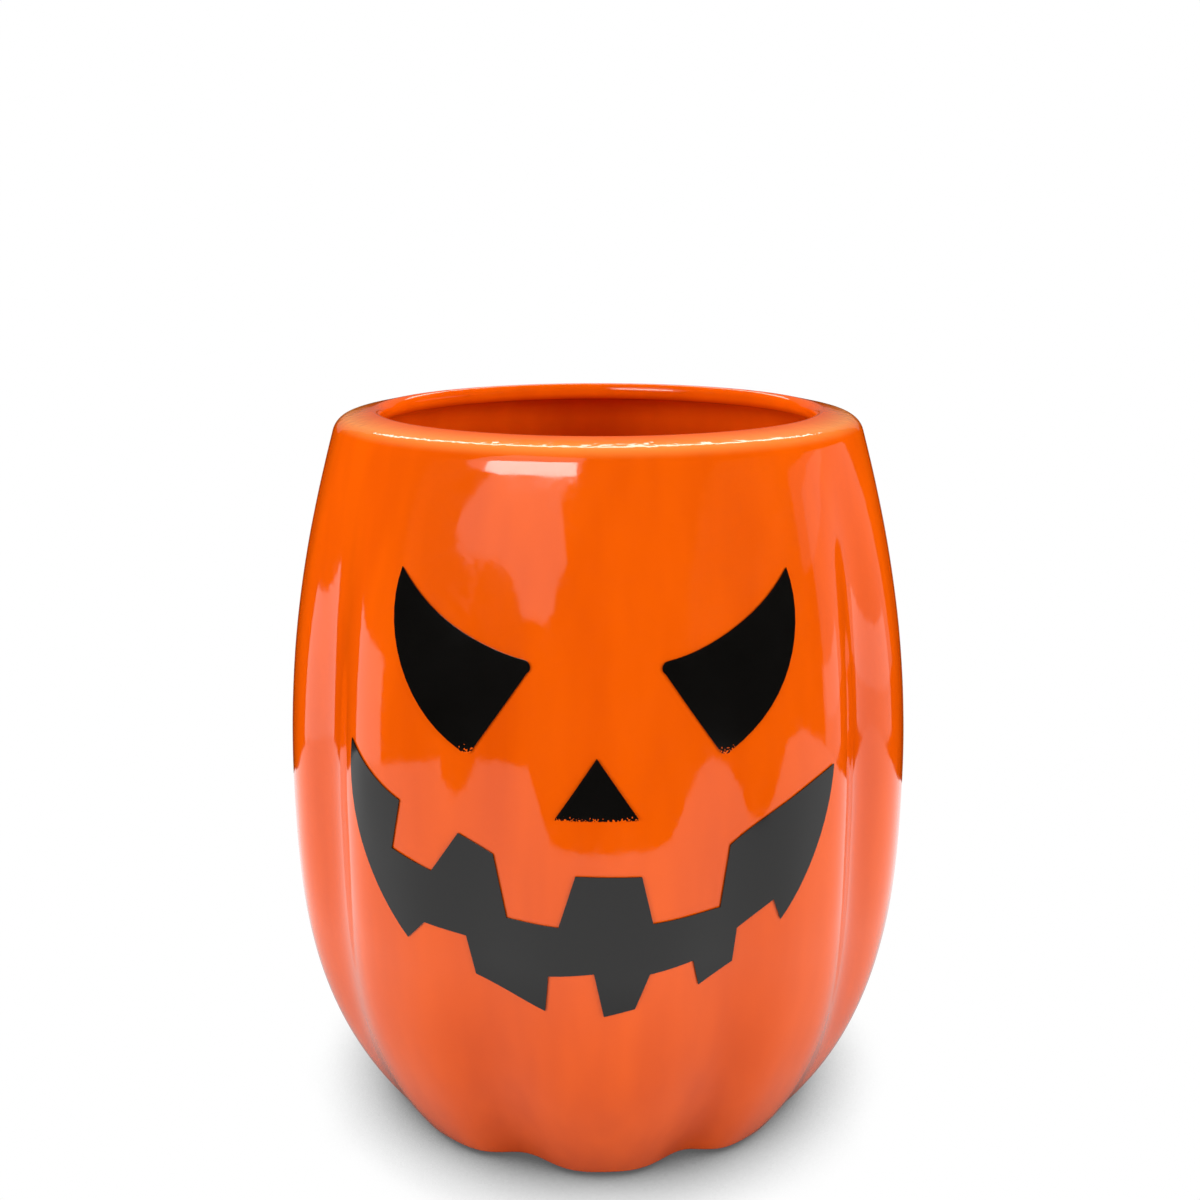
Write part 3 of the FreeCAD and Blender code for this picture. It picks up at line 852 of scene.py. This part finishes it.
def towards(azimuth, elevation):
    """Direction from the crock: azimuth from the front towards +X, elevation above the floor."""
    a, e = math.radians(azimuth), math.radians(elevation)
    return Vector((math.sin(a) * math.cos(e), -math.cos(a) * math.cos(e), math.sin(e)))


def only_mirrored(obj):
    """Hides an object of the stage from all but the reflections in the glaze."""
    obj.visible_camera = False
    obj.visible_diffuse = False
    obj.visible_shadow = False


def card(name, aim, distance, strength, fade, corners):
    """Lit white card that only the glaze sees, from the directions of its corners."""
    made = bmesh.new()
    glow = made.verts.layers.float.new(GLOW)
    face = made.faces.new([made.verts.new(aim + towards(*corner) * distance) for corner in corners])
    bmesh.ops.inset_individual(made, faces=[face], thickness=fade, use_even_offset=True)
    for vert in face.verts:
        vert[glow] = 1.0
    only_mirrored(place_on_stage(name, made, lit_cloth(f"{name}_cloth", strength)))


def floor_sheet(paper):
    """Sheet under the crock, with the outline that the glaze mirrors."""
    made = bmesh.new()
    made.faces.new([made.verts.new((*corner, 0)) for corner in SHEET_CORNERS])
    place_on_stage("floor_sheet", made, paper)


def wide_floor(paper):
    """Floor all round, which the glaze doesn't mirror."""
    made = bmesh.new()
    bmesh.ops.create_grid(made, x_segments=1, y_segments=1, size=FLOOR_REACH)
    bmesh.ops.translate(made, vec=(0, 0, -SHEET_GAP), verts=made.verts[:])
    place_on_stage("wide_floor", made, paper).visible_glossy = False


def shaded_floor(paper):
    """Floor round the crock as the glaze mirrors it, darker towards the crock."""
    made = bmesh.new()
    dim = made.verts.layers.float.new(DIM)
    bmesh.ops.create_circle(made, cap_ends=True, cap_tris=True, segments=SHADE_STEPS, radius=1.0)
    for vert in made.verts:
        vert[dim] = SHADE_DEPTH_SHARE * (1 - min(1.0, vert.co.length))
    bmesh.ops.scale(made, vec=(*SHADE_RADII, 1.0), verts=made.verts[:])
    bmesh.ops.translate(made, vec=(0, 0, SHEET_GAP), verts=made.verts[:])
    only_mirrored(place_on_stage("shaded_floor", made, paper))


def lamp(name, azimuth, elevation, strength):
    """Soft, distant lamp that lights the crock and isn't mirrored in the glaze."""
    light = bpy.data.lights.new(name, "SUN")
    light.energy = strength
    light.angle = math.radians(LAMP_SOFTNESS)
    obj = bpy.data.objects.new(name, light)
    obj.rotation_euler = towards(azimuth, elevation).to_track_quat("Z", "Y").to_euler()
    obj.visible_glossy = False
    bpy.context.scene.collection.objects.link(obj)


def white_studio(scene):
    """World: even light on the crock, white behind it, and dark in the reflections of the glaze."""
    world = bpy.data.worlds.new("white_studio")
    scene.world = world
    world.use_nodes = True
    tree = world.node_tree
    tree.nodes.clear()
    path = add(tree, "ShaderNodeLightPath")
    seen = add(tree, "ShaderNodeMath", {"operation": "MAXIMUM"},
               {0: path.outputs["Is Camera Ray"], 1: path.outputs["Is Transmission Ray"]})
    level = add(tree, "ShaderNodeMapRange", {"To Min": WORLD_STRENGTH}, {"Value": seen.outputs[0]})
    sky = add(tree, "ShaderNodeBackground", {"Color": WHITE}, {"Strength": level.outputs[0]})
    add(tree, "ShaderNodeOutputWorld", None, {"Surface": sky.outputs[0]})
    world.cycles_visibility.glossy = False


def front_camera(scene, stage):
    """Camera in front of the crock, above its rim, that looks a little down."""
    camera = bpy.data.cameras.new("camera")
    camera.sensor_width = SENSOR_WIDTH
    camera.lens = stage.camera_lens
    camera.shift_x = SHIFT_PIXELS / IMAGE_SIDE
    camera.clip_start = NEAR_CLIP
    eye = bpy.data.objects.new("camera", camera)
    turn = stage.camera_turn
    back = Vector((math.sin(turn), -math.cos(turn), 0)) * stage.camera_distance
    eye.location = back + Vector((0, 0, stage.camera_level))
    eye.rotation_euler = (math.pi / 2 - stage.camera_pitch, 0, turn)
    scene.collection.objects.link(eye)
    scene.camera = eye


class CROCK_OT_stage(bpy.types.Operator):
    """Sets the white floor, the soft light and the camera"""
    bl_idname = "crock.stage"
    bl_label = "Stage"

    def execute(self, context):
        scene, form, stage = context.scene, context.scene.crock_form, context.scene.crock_stage
        paper = white_paper(stage.paper)
        floor_sheet(paper)
        wide_floor(paper)
        shaded_floor(paper)
        aim = Vector((0, 0, form.height * CARD_AIM_SHARE))
        for name, settings in CARDS.items():
            card(name, aim, *settings)
        for name, settings in LAMPS.items():
            lamp(name, *settings)
        white_studio(scene)
        front_camera(scene, stage)
        scene.view_settings.view_transform = "Standard"
        return {"FINISHED"}


class CROCK_PT_panel(bpy.types.Panel):
    """Sizes, colours and steps of the crock"""
    bl_idname = "CROCK_PT_panel"
    bl_label = "Utensil crock"
    bl_space_type = "VIEW_3D"
    bl_region_type = "UI"
    bl_category = "Crock"

    def draw(self, context):
        for group in GROUPS:
            settings = getattr(context.scene, group)
            for name in settings.__annotations__:
                self.layout.prop(settings, name)
        for step in STEPS:
            self.layout.operator(step.bl_idname)


GROUPS = {
    "crock_form": CrockForm,
    "crock_face": CrockFace,
    "crock_finish": CrockFinish,
    "crock_stage": CrockStage,
}
STEPS = (
    CROCK_OT_outer_glaze,
    CROCK_OT_liner_glaze,
    CROCK_OT_face_print,
    CROCK_OT_bare_clay,
    CROCK_OT_stage,
)


def register():
    for group in GROUPS.values():
        bpy.utils.register_class(group)
    for name, group in GROUPS.items():
        setattr(bpy.types.Scene, name, PointerProperty(type=group))
    for step in STEPS:
        bpy.utils.register_class(step)
    bpy.utils.register_class(CROCK_PT_panel)


def unregister():
    bpy.utils.unregister_class(CROCK_PT_panel)
    for step in reversed(STEPS):
        bpy.utils.unregister_class(step)
    for name in reversed(GROUPS):
        delattr(bpy.types.Scene, name)
    for group in reversed(GROUPS.values()):
        bpy.utils.unregister_class(group)


def main():
    register()
    bpy.ops.crock.outer_glaze()
    bpy.ops.crock.liner_glaze()
    bpy.ops.crock.face_print()
    bpy.ops.crock.bare_clay()
    bpy.ops.crock.stage()


if __name__ == "__main__":
    main()
